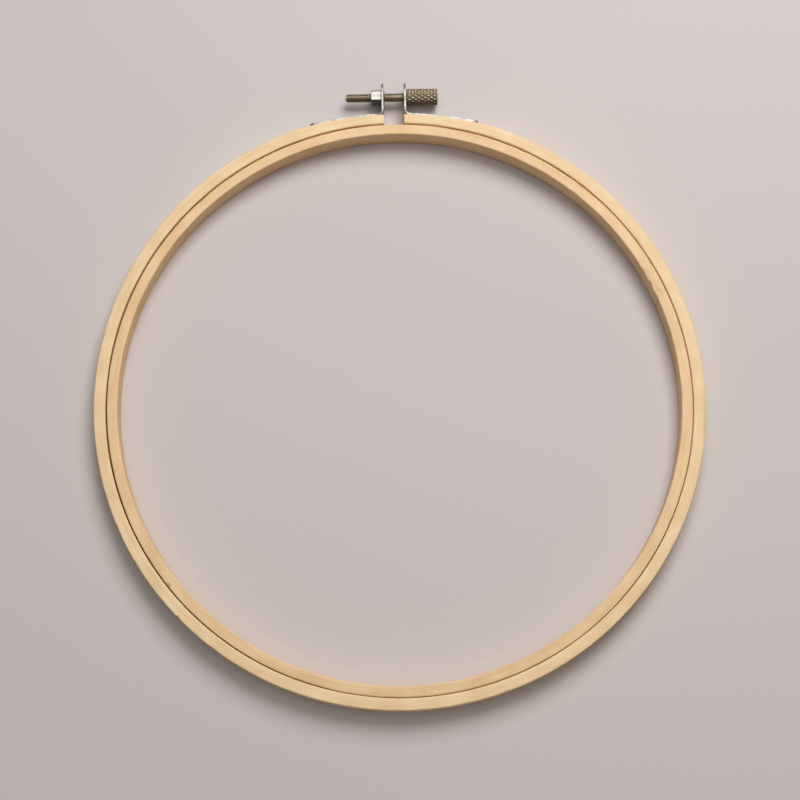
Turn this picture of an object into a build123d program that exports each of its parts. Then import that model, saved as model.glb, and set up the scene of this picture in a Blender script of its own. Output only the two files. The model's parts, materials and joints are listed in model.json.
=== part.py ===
from build123d import *
import math
import os

# Embroidery hoop: two bamboo strips bent into rings. The inner ring is glued shut and lifts out.
# The outer ring is split at the top, where a thumb screw draws two riveted metal brackets together.
# Millimetres. The hoop lies flat: +Z is its axis, +Y points to the clamp, and X runs along the
# screw. The origin is the centre of the window, half way up the strips.

# Hoop strips
outer_diameter = 200.0
hoop_height = 9.0
outer_strip_thickness = 3.9
inner_strip_thickness = 3.5
hoop_clearance = 0.4
strip_edge_round = 0.45
split_width = 6.8

# Bracket, one bent steel strip
bracket_thickness = 0.75
bracket_width = 8.2
ear_set_back = 0.05
ear_tip_above_screw = 4.8
bend_inside_radius = 1.2
leg_reach = 28.3
leg_clearance = 0.05
leg_corner_radius = 1.5
toe_lift = 0.3

# Rivet, semi-tubular, with its flared tail sunk into the wood
rivet_from_leg_end = 5.9
rivet_shank_radius = 0.95
rivet_head_radius = 1.6
rivet_head_height = 0.6
rivet_tail_radius = 1.6
rivet_tail_depth = 0.7
rivet_tube_radius = 0.5
rivet_tube_depth = 1.6
rivet_recess = 0.1
rivet_clearance = 0.05
rivet_seat_gap = 0.03

# Screw
screw_above_hoop = 6.85
thread_pitch = 0.5
thread_crest_radius = 1.47
thread_root_radius = 1.2
shank_radius = 1.35
tip_reach = 16.4
tip_length = 0.4
tip_radius = 1.1
tip_chamfer = 0.25
tighten_travel = 1.5
ear_hole_clearance = 0.3

# Knob, turned in one with the screw
knob_length = 10.6
knob_radius = 2.9
knob_chamfer = 0.35
knob_seat_gap = 0.06
knurl_depth = 0.34
knurl_grooves = 14
knurl_lead = 29.9

# Nut, staked into the left ear
nut_across_flats = 4.8
nut_length = 3.5
nut_chamfer = 0.2
thread_clearance = 0.12
spigot_radius = 2.05
spigot_fit = 0.02
collar_radius = 2.4
collar_thickness = 0.3

# A cut runs this far past the face that it opens
overrun = 1.0

outer_radius = outer_diameter / 2
outer_bore_radius = outer_radius - outer_strip_thickness
inner_outside_radius = outer_bore_radius - hoop_clearance
window_radius = inner_outside_radius - inner_strip_thickness

leg_radius = outer_radius + leg_clearance
rivet_reach = leg_reach - rivet_from_leg_end
ear_face_x = split_width / 2 + ear_set_back
ear_back_x = ear_face_x + bracket_thickness
screw_y = outer_radius + screw_above_hoop
ear_tip_y = screw_y + ear_tip_above_screw
rivet_angle = math.degrees(math.asin(rivet_reach / outer_radius))

nut_face_x = -ear_back_x - spigot_fit
collar_x = -ear_face_x + spigot_fit
thread_start_x = tip_length - tip_reach
# The plain shank starts where the nut stops when the hoop is fully tightened.
thread_end_x = nut_face_x + tighten_travel + thread_pitch
knob_x = ear_back_x + knob_seat_gap


def ring(outside, bore, edge_round):
    """A flat strip bent into a closed ring, with its four long edges eased."""
    blank = Cylinder(outside, hoop_height) - Cylinder(bore, hoop_height)
    return fillet(blank.edges().filter_by(GeomType.CIRCLE), edge_round)


def radial(solid, angle, radius):
    """Turn a solid's +Z to point outwards, at an angle clockwise from +Y, this far from the axis."""
    return Rot(0, 0, -angle) * Pos(0, radius, 0) * Rot(-90, 0, 0) * solid


def along_screw(solid):
    """Lay a solid that is built along +Z on the screw's axis, with its z as the new x."""
    return Pos(0, screw_y, 0) * Rot(0, 90, 0) * solid


def revolved(*points):
    """A solid turned about Z, from the (radius, z) corners of half its section."""
    corners = [(radius, 0, z) for radius, z in points]
    return revolve(make_face(Polyline(*corners, close=True)), Axis.Z)


def arc_round(centre, start, end):
    """The shorter arc from start to end about centre."""
    radius = (start - centre).length
    middle = centre + (start + end - centre * 2).normalized() * radius
    return ThreePointArc(start, middle, end)


def at_angle(radius, angle):
    """The point this far from the hoop's axis, at an angle clockwise from +Y."""
    return Vector(radius * math.sin(math.radians(angle)), radius * math.cos(math.radians(angle)))


def rivet_hole():
    """The clearance that a rivet needs in the wood: a round hole, sunk on the inside for the tail."""
    shank = rivet_shank_radius + rivet_clearance
    tail = rivet_tail_radius + rivet_clearance
    sunk = rivet_recess + rivet_tail_depth
    through = outer_strip_thickness + overrun
    return revolved((0, -overrun), (tail, -overrun), (tail, rivet_recess), (shank, sunk),
                    (shank, through), (0, through))


def outer_hoop():
    """The springy outer strip, split at the top, with a rivet hole on each side of the split."""
    hoop = ring(outer_radius, outer_bore_radius, strip_edge_round)
    split = Box(split_width, outer_strip_thickness + 2 * overrun, hoop_height + 2 * overrun)
    hoop -= Pos(0, outer_radius - outer_strip_thickness / 2, 0) * split
    for angle in (-rivet_angle, rivet_angle):
        hoop -= radial(rivet_hole(), angle, outer_bore_radius)
    return hoop


def inner_hoop():
    """The inner strip, glued into a closed ring, which the cloth is stretched over."""
    return ring(inner_outside_radius, window_radius, strip_edge_round)


def bracket_outline():
    """The right bracket seen along Z: the ear, the bend, the leg on the hoop and its lifted toe."""
    bend_outside_radius = bend_inside_radius + bracket_thickness
    bend_distance = leg_radius + bend_outside_radius
    bend_x = ear_face_x + bend_outside_radius
    bend = Vector(bend_x, math.sqrt(bend_distance**2 - bend_x**2))
    centre = Vector(0, 0)
    back_radius = leg_radius + bracket_thickness

    ear_front = Vector(ear_face_x, ear_tip_y)
    ear_back = Vector(ear_back_x, ear_tip_y)
    front_low = Vector(ear_face_x, bend.Y)
    back_low = Vector(ear_back_x, bend.Y)
    leg_start = bend.normalized() * leg_radius
    back_start = bend.normalized() * back_radius
    toe_angle = math.degrees(math.asin((rivet_reach + rivet_head_radius) / outer_radius))
    end_angle = math.degrees(math.asin(leg_reach / outer_radius))
    toe_start = at_angle(leg_radius, toe_angle)
    toe_back = at_angle(back_radius, toe_angle)
    toe_end = at_angle(leg_radius + toe_lift, end_angle)
    toe_end_back = toe_end + (toe_end - toe_start).normalized().rotate(Axis.Z, 90) * bracket_thickness

    return make_face(
        Line(ear_back, ear_front)
        + Line(ear_front, front_low)
        + arc_round(bend, front_low, leg_start)
        + arc_round(centre, leg_start, toe_start)
        + Line(toe_start, toe_end)
        + Line(toe_end, toe_end_back)
        + Line(toe_end_back, toe_back)
        + arc_round(centre, toe_back, back_start)
        + arc_round(bend, back_start, back_low)
        + Line(back_low, ear_back)
    )


def bracket(ear_hole_radius):
    """The right bracket, with the given hole in its ear for the screw or the nut's spigot."""
    strip = extrude(bracket_outline(), bracket_width / 2, both=True)
    end_edges = strip.faces().sort_by(Axis.X)[-1].edges().sort_by(SortBy.LENGTH)
    strip = fillet(end_edges[:2], leg_corner_radius)

    tip_centre_y = ear_tip_y - bracket_width / 2
    long = leg_reach + overrun
    keep = Pos(long / 2, tip_centre_y / 2, 0) * Box(long, tip_centre_y, bracket_width)
    keep += Pos(0, tip_centre_y, 0) * Rot(0, 90, 0) * Cylinder(bracket_width / 2, long, align=(
        Align.CENTER, Align.CENTER, Align.MIN))
    strip &= keep

    strip -= Pos(ear_face_x, screw_y, 0) * Rot(0, 90, 0) * Cylinder(
        ear_hole_radius, 2 * (bracket_thickness + overrun))
    hole = Cylinder(rivet_shank_radius + rivet_clearance, 2 * (bracket_thickness + overrun))
    return strip - radial(hole, rivet_angle, leg_radius)


def right_bracket():
    """The bracket that the knob bears on: the screw's shank turns in its ear."""
    return bracket(shank_radius + ear_hole_clearance)


def left_bracket():
    """The mirrored bracket, which holds the nut in its ear."""
    return mirror(bracket(spigot_radius + spigot_fit), Plane.YZ)


def rivet(angle):
    """One rivet: a low domed head on the bracket, a tube-ended shank and a tail flared in the wood."""
    tail_z = rivet_recess
    seat_z = outer_strip_thickness + leg_clearance + bracket_thickness + rivet_seat_gap
    body = revolved((0, tail_z), (rivet_tail_radius, tail_z),
                    (rivet_shank_radius, tail_z + rivet_tail_depth),
                    (rivet_shank_radius, seat_z), (0, seat_z))
    dome_radius = (rivet_head_radius**2 + rivet_head_height**2) / (2 * rivet_head_height)
    dome = Pos(0, 0, seat_z + rivet_head_height - dome_radius) * Sphere(dome_radius)
    head = Pos(0, 0, seat_z) * Cylinder(
        rivet_head_radius, rivet_head_height, align=(Align.CENTER, Align.CENTER, Align.MIN))
    tube = Pos(0, 0, tail_z) * Cylinder(rivet_tube_radius, 2 * rivet_tube_depth)
    return radial(body + (head & dome) - tube, angle, outer_bore_radius)


def thread(start_x, length, gap):
    """A right-handed thread, built along +Z: a section with one lobe, which twists as it rises.

    The gap is added to both radii, so the same section cuts a nut with that clearance.
    """
    root = thread_root_radius + gap
    crest = thread_crest_radius + gap
    flank_share = (crest - root) * math.tan(math.radians(30)) / thread_pitch
    root_share = 2 * (1 - 2 * flank_share) / 3
    flank_start = 360 * root_share / 2
    flank_turn = 360 * flank_share
    steps = 5

    def around(radius, angle):
        """A point of the section at this radius and angle."""
        return Vector(1, 0).rotate(Axis.Z, angle) * radius

    rising = []
    for step in range(steps + 1):
        share = step / steps
        rising.append(around(root + (crest - root) * share, flank_start + flank_turn * share))
    falling = [Vector(point.X, -point.Y) for point in reversed(rising)]
    section = make_face(
        ThreePointArc(falling[-1], Vector(root, 0), rising[0])
        + Spline(*rising)
        + ThreePointArc(rising[-1], Vector(-crest, 0), falling[0])
        + Spline(*falling)
    ).face()
    twist = 360 * length / thread_pitch
    return Pos(0, 0, start_x) * Solid.extrude_linear_with_rotation(
        section, (0, 0, 0), (0, 0, length), twist)


def ridged_bar(twist):
    """The knob's blank with sharp ridges along it, which twist by this angle over its length."""
    valley_radius = knob_radius - knurl_depth
    corners = []
    for ridge in range(knurl_grooves):
        turn = 360 / knurl_grooves
        corners.append(Vector(1, 0).rotate(Axis.Z, ridge * turn) * knob_radius)
        corners.append(Vector(1, 0).rotate(Axis.Z, (ridge + 1 / 2) * turn) * valley_radius)
    section = make_face(Polyline(*corners, close=True)).face()
    bar = Solid.extrude_linear_with_rotation(section, (0, 0, 0), (0, 0, knob_length), twist)
    return Pos(0, 0, knob_x) * bar


def knob():
    """The knob: its diamonds are what two ridged bars that twist opposite ways have in common."""
    twist = 360 * knob_length / knurl_lead
    end_radius = knob_radius - knob_chamfer
    end_x = knob_x + knob_length
    wide = knob_radius + overrun
    slope = knob_chamfer + overrun
    ends = revolved((0, knob_x), (end_radius, knob_x), (wide, knob_x + slope),
                    (wide, end_x - slope), (end_radius, end_x), (0, end_x))
    return (ridged_bar(twist) & ends) & ridged_bar(-twist)


def thumb_screw():
    """The screw, turned from one bar: threaded end, plain shank through the right ear, and knob."""
    tip = revolved((0, -tip_reach), (tip_radius - tip_chamfer, -tip_reach),
                   (tip_radius, tip_chamfer - tip_reach), (tip_radius, thread_start_x),
                   (0, thread_start_x))
    threaded = thread(thread_start_x, thread_end_x - thread_start_x, 0)
    shank = revolved((0, thread_end_x), (shank_radius, thread_end_x), (shank_radius, knob_x),
                     (0, knob_x))
    return along_screw(threaded + tip + shank + knob())


def clamp_nut():
    """The hexagonal nut, and the spigot that is staked over the inside of the left ear."""
    across_corners = nut_across_flats / math.cos(math.radians(30))
    nut_end_x = nut_face_x - nut_length
    outline = Rot(0, 0, 30) * RegularPolygon(across_corners / 2, 6)
    hexagon = Pos(0, 0, nut_end_x) * extrude(outline, nut_length)
    end_radius = nut_across_flats / 2 - nut_chamfer
    wide = across_corners / 2 + overrun
    slope = (wide - end_radius) * math.tan(math.radians(30))
    past_x = nut_face_x + overrun
    turned = revolved((0, nut_end_x), (end_radius, nut_end_x), (wide, nut_end_x + slope),
                      (wide, past_x), (0, past_x))
    spigot = revolved((0, nut_face_x), (spigot_radius, nut_face_x), (spigot_radius, collar_x),
                      (collar_radius, collar_x), (spigot_radius, collar_x + collar_thickness),
                      (0, collar_x + collar_thickness))
    turns_before = math.floor((nut_end_x - overrun - thread_start_x) / thread_pitch)
    tapped = thread(thread_start_x + turns_before * thread_pitch, nut_length + 3 * overrun,
                    thread_clearance)
    relief_radius = thread_crest_radius + 2 * thread_clearance
    relief = revolved((0, nut_face_x), (relief_radius, nut_face_x), (relief_radius, overrun),
                      (0, overrun))
    nut = (hexagon & turned) + spigot - relief - tapped
    return along_screw(nut)


parts = {
    "outer_hoop": outer_hoop(),
    "inner_hoop": inner_hoop(),
    "left_bracket": left_bracket(),
    "right_bracket": right_bracket(),
    "left_rivet": rivet(-rivet_angle),
    "right_rivet": rivet(rivet_angle),
    "thumb_screw": thumb_screw(),
    "clamp_nut": clamp_nut(),
}

os.makedirs("parts", exist_ok=True)
for name, solid in parts.items():
    export_step(solid, f"parts/{name}.step")
    print(f"{name}: {solid.volume:.1f} mm3")
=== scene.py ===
"""The looks of a wooden embroidery hoop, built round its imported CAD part.

Laid out as an add-on: property groups hold the sizes, colours and light, and one operator makes
each piece or pair of like pieces. Run as a script, it makes all of them. Lengths are in metres.
"""

import json
import math
import random
from collections import namedtuple

import bmesh
import bpy
import numpy as np
from bpy.props import FloatProperty, FloatVectorProperty, PointerProperty
from mathutils import Euler, Matrix, Vector


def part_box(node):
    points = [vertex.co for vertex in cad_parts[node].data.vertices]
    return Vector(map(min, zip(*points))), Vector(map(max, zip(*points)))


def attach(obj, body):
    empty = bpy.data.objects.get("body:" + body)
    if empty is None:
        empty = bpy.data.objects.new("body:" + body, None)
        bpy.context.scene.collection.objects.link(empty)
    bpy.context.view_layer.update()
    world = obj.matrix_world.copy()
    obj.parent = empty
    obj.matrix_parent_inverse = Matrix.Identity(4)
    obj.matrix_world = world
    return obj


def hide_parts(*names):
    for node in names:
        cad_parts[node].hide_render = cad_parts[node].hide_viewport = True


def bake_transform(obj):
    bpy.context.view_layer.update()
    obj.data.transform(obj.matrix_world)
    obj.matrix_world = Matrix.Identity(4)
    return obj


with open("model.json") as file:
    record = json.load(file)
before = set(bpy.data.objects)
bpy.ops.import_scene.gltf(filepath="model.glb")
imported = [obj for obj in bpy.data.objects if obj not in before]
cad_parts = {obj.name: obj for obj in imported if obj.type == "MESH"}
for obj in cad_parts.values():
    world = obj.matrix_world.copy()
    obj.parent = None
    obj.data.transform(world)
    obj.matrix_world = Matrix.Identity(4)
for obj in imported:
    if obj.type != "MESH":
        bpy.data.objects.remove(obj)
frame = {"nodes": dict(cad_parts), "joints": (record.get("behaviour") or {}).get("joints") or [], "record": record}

bl_info = {
    "name": "Embroidery Hoop",
    "version": (1, 0, 0),
    "blender": (4, 5, 0),
    "location": "View3D > Sidebar > Hoop",
    "description": "Makes a wooden embroidery hoop with its metal clamp",
    "category": "Add Mesh",
}

MM = 0.001
TURN = 2 * math.pi

OUTER_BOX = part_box("outer_hoop")
INNER_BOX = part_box("inner_hoop")
BRACKET_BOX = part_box("right_bracket")
SCREW_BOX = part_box("thumb_screw")
WINDOW = next(mount for mount in frame["record"]["mounts"] if mount["name"] == "window")
SCREW_TURN = next(joint for joint in frame["joints"] if joint["name"] == "screw_turn")
SCREW_Y = SCREW_TURN["pos_m"][1]

# Stations lie this far apart along the strips.
STATION_SPACING = 0.7 * MM

# The bamboo's noises: waves per millimetre along and across the strip, detail and roughness.
GRAIN = {
    "broad": (0.012, 0.8, 2.0, 0.5),
    "bands": (0.03, 2.2, 3.0, 0.55),
    "fine": (0.11, 7.0, 4.0, 0.6),
    "pores": (0.32, 10.0, 2.0, 0.5),
    "cloud": (0.09, 0.2, 2.0, 0.5),
}

# A dark mark in the wood: its place and half its size on the strip, in millimetres, and its strength.
Mark = namedtuple("Mark", "along through up long wide strength")
MARK_REACH = 1.5

# Shares of the strips' map: where a row starts, what it fills, and the ends' small discs.
ROW_MARGIN_SHARE = 0.01
ROW_LENGTH_SHARE = 0.98
ROW_START_SHARE = 0.02
ROW_HEIGHT_SHARE = 0.94
END_PLACE_SHARES = (0.995, 0.5)
END_RADIUS_SHARE = 0.004


def length(name, description, default):
    """A length that the user may change, in metres."""
    return FloatProperty(name=name, description=description, default=default, min=0,
                         precision=5, subtype="DISTANCE", unit="LENGTH")


def angle(name, description, degrees):
    """An angle that the user may change, given in degrees."""
    return FloatProperty(name=name, description=description, default=math.radians(degrees),
                         subtype="ANGLE", unit="ROTATION")


def share(name, description, default, top=1.0):
    """A plain factor that the user may change."""
    return FloatProperty(name=name, description=description, default=default, min=0, max=top,
                         subtype="FACTOR")


def power(name, description, watts):
    """The power of a lamp."""
    return FloatProperty(name=name, description=description, default=watts, min=0, unit="POWER")


def colour(name, description, default):
    """A colour that the user may change."""
    return FloatVectorProperty(name=name, description=description, default=default, size=3,
                               min=0, max=1, subtype="COLOR")


class HoopSizes(bpy.types.PropertyGroup):
    """Sizes of the two wooden strips."""

    outer_radius: length("Outer radius", "Outside of the split outer ring", OUTER_BOX[1].x)
    outer_thickness: length("Outer strip", "Thickness of the outer strip", 3.9 * MM)
    inner_radius: length("Inner ring radius", "Outside of the closed inner ring", INNER_BOX[1].x)
    window_radius: length("Window radius", "Open window of the inner ring",
                          WINDOW["dims"]["r_mm"] * MM)
    half_height: length("Half height", "Half the height of both strips", OUTER_BOX[1].z)
    edge_round: length("Edge round", "How far the strips' long edges are eased", 0.42 * MM)
    split: length("Split", "Width of the outer ring's split", 6.8 * MM)
    seat_depth: length("Seat depth", "How much the outer strip is thinned under the legs",
                       0.62 * MM)
    end_round: length("End round", "How far the split's edges are eased", 0.15 * MM)
    scarf_angle: angle("Scarf", "Where the inner ring's glued joint is, from +X", 25)
    scarf_length: length("Scarf length", "Length of the glued joint along the strip", 14 * MM)
    bend_start: length("Bend start", "Height on +Y where the outer ring starts to bend", 40 * MM)
    bend_end: length("Bend end", "Height on +Y where it moves with the clamp", 94 * MM)


class BracketSizes(bpy.types.PropertyGroup):
    """Sizes of the bent brackets and their rivets."""

    thickness: length("Strip", "Thickness of the bracket's strip", 0.75 * MM)
    half_width: length("Half width", "Half the strip's width", BRACKET_BOX[1].z)
    leg_half_width: length("Leg half width", "Half the width of the leg on the wood", 3.3 * MM)
    ear_face: length("Ear face", "Distance of the ear's inside from the clamp's middle",
                     BRACKET_BOX[0].x)
    ear_tip: length("Ear tip", "Height of the ear's tip on +Y", BRACKET_BOX[1].y)
    bend_inside: length("Bend", "Inside radius of the bend", 1.2 * MM)
    leg_clearance: length("Leg gap", "Gap between the leg and the wood", 0.05 * MM)
    toe_reach: length("Toe reach", "Distance along X where the leg ends", 28.3 * MM)
    toe_lift: length("Toe lift", "How far the leg's end stands off the wood", 0.3 * MM)
    toe_corner: length("Toe corner", "Radius of the leg's corners", 1.5 * MM)
    edge: length("Edge", "Rounding of the strip's edges", 0.13 * MM)
    screw_hole: length("Screw hole", "Radius of the right ear's hole", 1.65 * MM)
    nut_hole: length("Nut hole", "Radius of the left ear's hole", 2.07 * MM)
    rivet_hole: length("Rivet hole", "Radius of the holes for the rivets", 1.0 * MM)
    rivet_reach: length("Rivet reach", "Distance along X of the rivets", 22.4 * MM)
    rivet_head: length("Rivet head", "Radius of the rivet's head", 1.6 * MM)
    rivet_dome: length("Rivet dome", "Height of the rivet's head", 0.6 * MM)
    rivet_shank: length("Rivet shank", "Radius of the rivet's shank", 0.95 * MM)
    rivet_tail: length("Rivet tail", "Radius of the rivet's rolled tail", 1.55 * MM)
    rivet_recess: length("Rivet recess", "How deep the tail lies in the wood", 0.1 * MM)


class ScrewSizes(bpy.types.PropertyGroup):
    """Sizes of the thumb screw."""

    tip: length("Tip reach", "Distance of the screw's tip from the middle", -SCREW_BOX[0].x)
    end: length("Knob reach", "Distance of the knob's end from the middle", SCREW_BOX[1].x)
    tip_radius: length("Tip radius", "Radius of the screw's plain tip", 1.1 * MM)
    tip_length: length("Tip length", "Length of the plain tip", 0.4 * MM)
    tip_chamfer: length("Tip chamfer", "Chamfer on the tip", 0.25 * MM)
    pitch: length("Pitch", "Pitch of the thread", 0.5 * MM)
    crest: length("Crest", "Radius of the thread's crest", 1.5 * MM)
    root: length("Root", "Radius of the thread's root", 1.28 * MM)
    thread_end: length("Thread end", "Where the thread ends, left of the middle", 2.22 * MM)
    shank: length("Shank", "Radius of the plain shank", 1.4 * MM)
    knob_start: length("Knob start", "Where the knob starts, right of the middle", 4.26 * MM)
    knob_radius: length("Knob radius", "Radius of the knob over its diamonds", 2.9 * MM)
    knurl_depth: length("Knurl depth", "Depth of the knurl", 0.34 * MM)
    knurl_lead: length("Knurl lead", "Length in which a groove goes once round", 29.9 * MM)
    knurl_flat: length("Knurl flat", "How much of the diamonds' tips is worn off", 0.05 * MM)
    knob_chamfer: length("Knob chamfer", "Chamfer on the knob's ends", 0.35 * MM)


class HoopColours(bpy.types.PropertyGroup):
    """Colours of the finishes."""

    outer_wood: colour("Outer wood", "Pale sanded bamboo of the outer ring", (0.86, 0.63, 0.36))
    inner_wood: colour("Inner wood", "Sanded bamboo of the inner ring", (0.825, 0.57, 0.305))
    fibre: colour("Fibre", "Darker fibres of the bamboo", (0.50, 0.29, 0.12))
    nickel: colour("Nickel", "Bright nickel plate", (0.38, 0.36, 0.325))
    stamped_nickel: colour("Stamped nickel", "Plainer plate of the brackets", (0.37, 0.36, 0.33))
    nickel_dull: colour("Dull nickel", "Plate dulled by handling", (0.20, 0.18, 0.155))
    brass: colour("Antique brass", "Worn ridges of the screw", (0.66, 0.56, 0.40))
    brass_dark: colour("Dark brass", "Dark plate in the grooves", (0.22, 0.17, 0.11))
    floor: colour("Floor", "Pale warm grey of the floor", (0.632, 0.571, 0.551))


class StageSettings(bpy.types.PropertyGroup):
    """The camera, the lamps and the floor."""

    camera_distance: length("Camera distance", "Distance from the aimed point", 665.96 * MM)
    camera_tilt: angle("Camera tilt", "Tilt off straight down", 12.39)
    camera_turn: angle("Camera turn", "Turn about the vertical", -1.1)
    aim_x: FloatProperty(name="Aim X", description="Aimed point on the floor", unit="LENGTH",
                         default=0.12 * MM)
    aim_y: FloatProperty(name="Aim Y", description="Aimed point on the floor", unit="LENGTH",
                         default=2.515 * MM)
    lens: FloatProperty(name="Lens", description="Focal length in millimetres", default=90.45)
    lamp_azimuth: angle("Lamp azimuth", "Where both lamps are, from +X", 69)
    top_elevation: angle("Top lamp elevation", "How high the wide lamp overhead is", 87)
    top_distance: length("Top lamp distance", "Distance of the wide lamp", 3.0)
    top_size: length("Top lamp size", "Diameter of the wide lamp", 3.2)
    top_power: power("Top lamp power", "Power of the wide lamp", 30)
    side_elevation: angle("Side lamp elevation", "How high the lamp behind the clamp is", 55)
    side_distance: length("Side lamp distance", "Distance of the lamp behind the clamp", 0.9)
    side_size: length("Side lamp size", "Diameter of the lamp behind the clamp", 0.56)
    side_power: power("Side lamp power", "Power of the lamp behind the clamp", 5.9)
    sky: share("Sky", "Strength of the light from overhead", 0.08, 4)
    horizon: share("Horizon", "Strength of the light from the horizon", 0.2, 4)
    floor_radius: length("Floor radius", "Radius of the floor", 5.0)


# Shader maths


class Value:
    """A socket of a node tree. Arithmetic on it adds the Math nodes that work it out."""

    def __init__(self, nodes, socket):
        self.nodes = nodes
        self.socket = socket

    def math(self, operation, *inputs):
        return self.nodes.node("ShaderNodeMath", {"operation": operation},
                               dict(enumerate(inputs)))

    def __add__(self, other):
        return self.math("ADD", self, other)

    def __radd__(self, other):
        return self.math("ADD", other, self)

    def __sub__(self, other):
        return self.math("SUBTRACT", self, other)

    def __rsub__(self, other):
        return self.math("SUBTRACT", other, self)

    def __mul__(self, other):
        return self.math("MULTIPLY", self, other)

    def __rmul__(self, other):
        return self.math("MULTIPLY", other, self)

    def __truediv__(self, other):
        return self.math("DIVIDE", self, other)

    def __abs__(self):
        return self.math("ABSOLUTE", self)

    def between(self, low, high):
        """0 below low and 1 above high, with a smooth step between them."""
        return self.from_to(low, high, 0.0, 1.0)

    def from_to(self, low, high, first, last):
        """The first value below low and the last one above high, with a smooth step between."""
        return self.nodes.node("ShaderNodeMapRange", {"interpolation_type": "SMOOTHSTEP"}, {
            "Value": self, "From Min": low, "From Max": high, "To Min": first, "To Max": last})


class Nodes:
    """The node tree of a material or a world, with the shader at its end."""

    def __init__(self, owner, shader_type):
        owner.use_nodes = True
        self.owner = owner
        self.tree = owner.node_tree
        self.surface = next(n for n in self.tree.nodes if n.type == shader_type)

    def node(self, kind, settings=None, inputs=None, output=0):
        """Adds a node. Its settings are set first, then the values or links of its sockets."""
        made = self.tree.nodes.new(kind)
        for name, value in (settings or {}).items():
            setattr(made, name, value)
        for name, value in (inputs or {}).items():
            self.feed(made.inputs[name], value)
        return Value(self, made.outputs[output])

    def feed(self, socket, value):
        """Links or sets a socket."""
        if isinstance(value, Value):
            self.tree.links.new(value.socket, socket)
        elif socket.type == "RGBA":
            socket.default_value = (*value, 1)
        else:
            socket.default_value = value


class Shader(Nodes):
    """A material under construction, with its Principled shader."""

    def __init__(self, name):
        super().__init__(bpy.data.materials.new(name), "BSDF_PRINCIPLED")

    def mix(self, factor, a, b):
        """Colour a at factor 0 and colour b at factor 1."""
        return self.node("ShaderNodeMix", {"data_type": "RGBA"}, {0: factor, 6: a, 7: b}, 2)

    def noise(self, x, y, z, detail=3.0, roughness=0.55, seed=0.0):
        """Noise from 0 to 1 at a point that is given by three values."""
        point = self.node("ShaderNodeCombineXYZ", None, {0: x, 1: y, 2: z})
        return self.node("ShaderNodeTexNoise", {"noise_dimensions": "4D"}, {
            "Vector": point, "W": seed, "Scale": 1.0, "Detail": detail, "Roughness": roughness})

    def attribute(self, name):
        """The three values of a mesh's vector attribute."""
        vector = self.node("ShaderNodeAttribute", {"attribute_name": name}, None, "Vector")
        return [self.node("ShaderNodeSeparateXYZ", None, {0: vector}, i) for i in range(3)]

    def place(self):
        """The three values of the place on the piece itself, in millimetres."""
        vector = self.node("ShaderNodeTexCoord", None, None, "Object")
        return [self.node("ShaderNodeSeparateXYZ", None, {0: vector}, i) / MM for i in range(3)]

    def finish(self, height=None, depth=0.0, **inputs):
        """Feeds the surface's sockets, with a bump of this depth, and returns the material."""
        if height is not None:
            inputs["Normal"] = self.node("ShaderNodeBump", None, {
                "Height": height, "Distance": depth, "Strength": 1.0})
        for name, value in inputs.items():
            self.feed(self.surface.inputs[name.replace("_", " ")], value)
        return self.owner


def wood(name, tone, fibre, seed, scarf=None, marks=()):
    """Sanded bamboo. The strip attribute gives millimetres along, through and up the strip.

    A scarf is the glue line's length, half the strip's thickness and the ring's whole length.
    """
    shader = Shader(name)
    along, through, up = shader.attribute("strip")
    if scarf:
        length_mm, half_mm, ring_mm = scarf
        line = along - through * (length_mm / (2 * half_mm))
        other_end = 1 - line.between(-0.02, 0.02)
        along = along + other_end * ring_mm
        joint = 1 - abs(line).between(0.1, 0.5)
    broad, bands, fine, pores, cloud = (
        shader.noise(along * lengthwise, through * across, up * across, detail, roughness,
                     seed + number)
        for number, (lengthwise, across, detail, roughness) in enumerate(GRAIN.values()))
    streaks = bands.between(0.52, 0.78) * 0.26 + fine.between(0.5, 0.8) * 0.22
    dashes = pores.between(0.64, 0.78) * broad.between(0.3, 0.7)
    dark = streaks + dashes * 0.3 + broad.between(0.45, 0.8) * 0.1
    if scarf:
        dark = dark + joint * 0.45
    pale = [min(1, c * 1.06 + 0.02) for c in tone]
    warm = (tone[0] * 0.98, tone[1] * 0.93, tone[2] * 0.86)
    base = shader.mix(cloud.between(0.3, 0.7), pale, warm)
    base = shader.mix(dark, base, fibre)
    for mark in marks:
        far = (abs(along - mark.along) / mark.long + abs(through - mark.through) / mark.wide
               + abs(up - mark.up) / MARK_REACH)
        base = shader.mix((1 - far.between(0.3, 1.0)) * mark.strength, base, fibre)
    height = fine * 0.5 + bands * 0.3 - dashes * 0.8
    if scarf:
        height = height - joint * 0.8
    rough = 0.5 + fine * 0.16 + dashes * 0.1
    return shader.finish(height, 0.035 * MM, Base_Color=base, Roughness=rough)


def nickel(name, bright, dull, gloss_loss):
    """Nickel plate with handling haze, fine scratches and a few dull specks."""
    shader = Shader(name)
    x, y, z = shader.place()
    haze = shader.noise(x * 0.5, y * 0.5, z * 0.5, 3.0, 0.6, 1.0)
    scratches = shader.noise(x * 3.0, y * 3.0, z * 26.0, 3.0, 0.6, 2.0)
    specks = shader.noise(x * 3.4, y * 3.4, z * 3.4, 3.0, 0.6, 3.0).between(0.66, 0.76)
    base = shader.mix(haze.between(0.4, 0.75) * 0.35 + specks * 0.5, bright, dull)
    rough = 0.17 + gloss_loss + haze.between(0.35, 0.7) * 0.12 + scratches * 0.08 + specks * 0.25
    return shader.finish(scratches - specks * 0.6, 0.006 * MM, Base_Color=base,
                         Roughness=rough, Metallic=1.0)


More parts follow.
